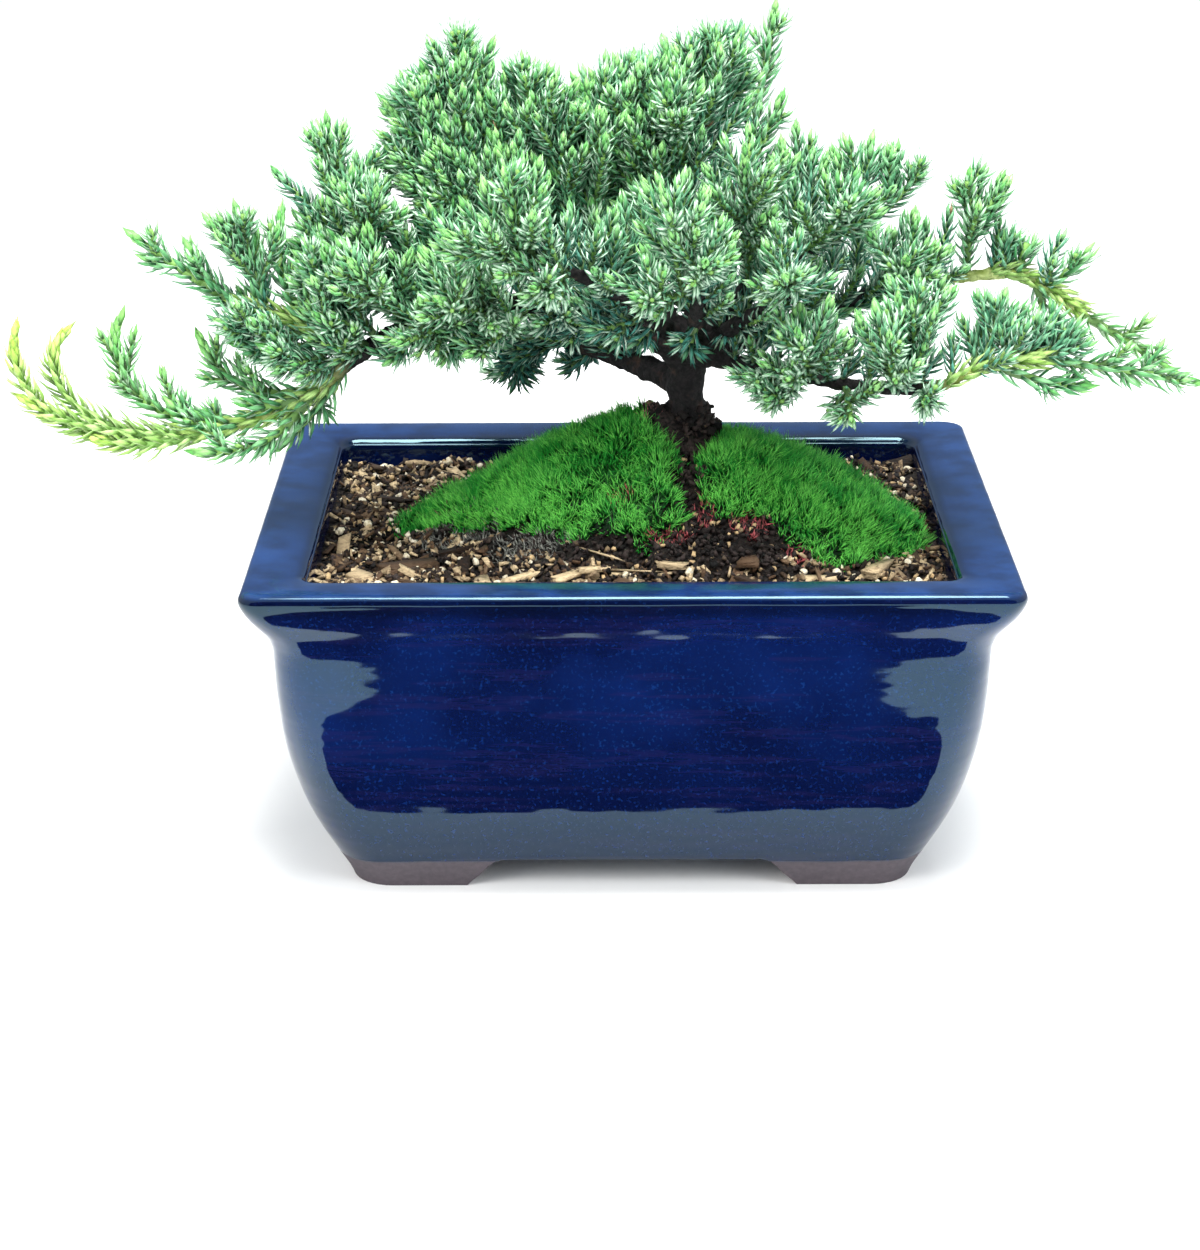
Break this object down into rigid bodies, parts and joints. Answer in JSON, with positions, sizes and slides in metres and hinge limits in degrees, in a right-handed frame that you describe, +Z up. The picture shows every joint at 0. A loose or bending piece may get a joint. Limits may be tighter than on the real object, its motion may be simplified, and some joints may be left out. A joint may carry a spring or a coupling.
{
  "type": "juniper bonsai",
  "caption": "Small juniper bonsai with upright needle sprays on a mossy soil mound in a glazed rectangular ceramic pot with corner feet.",
  "frame": {"origin": "centre of the whole object's box, on the surface that the feet stand on", "axes": "+Z up, +X to the viewer's right along the pot's long side, +Y away from the viewer"},
  "size_m": [0.245, 0.1308, 0.1721],
  "materials": {
    "pot_glaze": "gloss",
    "screen_plastic": "matte",
    "soil": "matte",
    "moss": "matte",
    "bark": "matte",
    "needles": "satin"
  },
  "bodies": {
    "root": {"pot": "pot_glaze", "drain_screen": "screen_plastic", "soil": "soil", "moss_left": "moss", "moss_right": "moss", "trunk": "bark", "spray_trail_tip": "needles", "spray_trail_second": "needles", "spray_trail_third": "needles", "spray_trail_under": "needles", "spray_trail_inner": "needles", "spray_fan_far": "needles", "spray_fan_mid": "needles", "spray_left_drop": "needles", "spray_left_peak": "needles", "spray_left_high": "needles", "spray_left_front": "needles", "spray_left_side": "needles", "spray_left_low": "needles", "spray_left_under": "needles", "spray_left_face": "needles", "spray_left_brow": "needles", "spray_crown_left": "needles", "spray_crown_edge": "needles", "spray_crown_back": "needles", "spray_crown_dip": "needles", "spray_crown_low": "needles", "spray_crown_mid": "needles", "spray_crown_fore": "needles", "spray_crown_right": "needles", "spray_crown_behind": "needles", "spray_back_tip": "needles", "spray_back_low_tip": "needles", "spray_right_top_in": "needles", "spray_right_top": "needles", "spray_right_shoulder": "needles", "spray_right_face_high": "needles", "spray_right_fore": "needles", "spray_right_rise": "needles", "spray_right_face": "needles", "spray_arch_rise": "needles", "spray_arch_out": "needles", "spray_arch_tip": "needles", "spray_low_tip": "needles", "spray_low_drop": "needles", "spray_low_front": "needles", "spray_low_inner": "needles", "spray_low_face": "needles", "spray_low_side": "needles", "spray_front_right_tip": "needles", "spray_front_mid": "needles", "spray_front_low": "needles", "spray_front_brow": "needles", "spray_front_left_tip": "needles", "spray_front_left_low": "needles", "spray_back_left_low": "needles", "spray_back_left_tip": "needles", "spray_back_left_mid": "needles", "spray_back_mid": "needles", "spray_back_right_tip": "needles"}
  },
  "joints": []
}
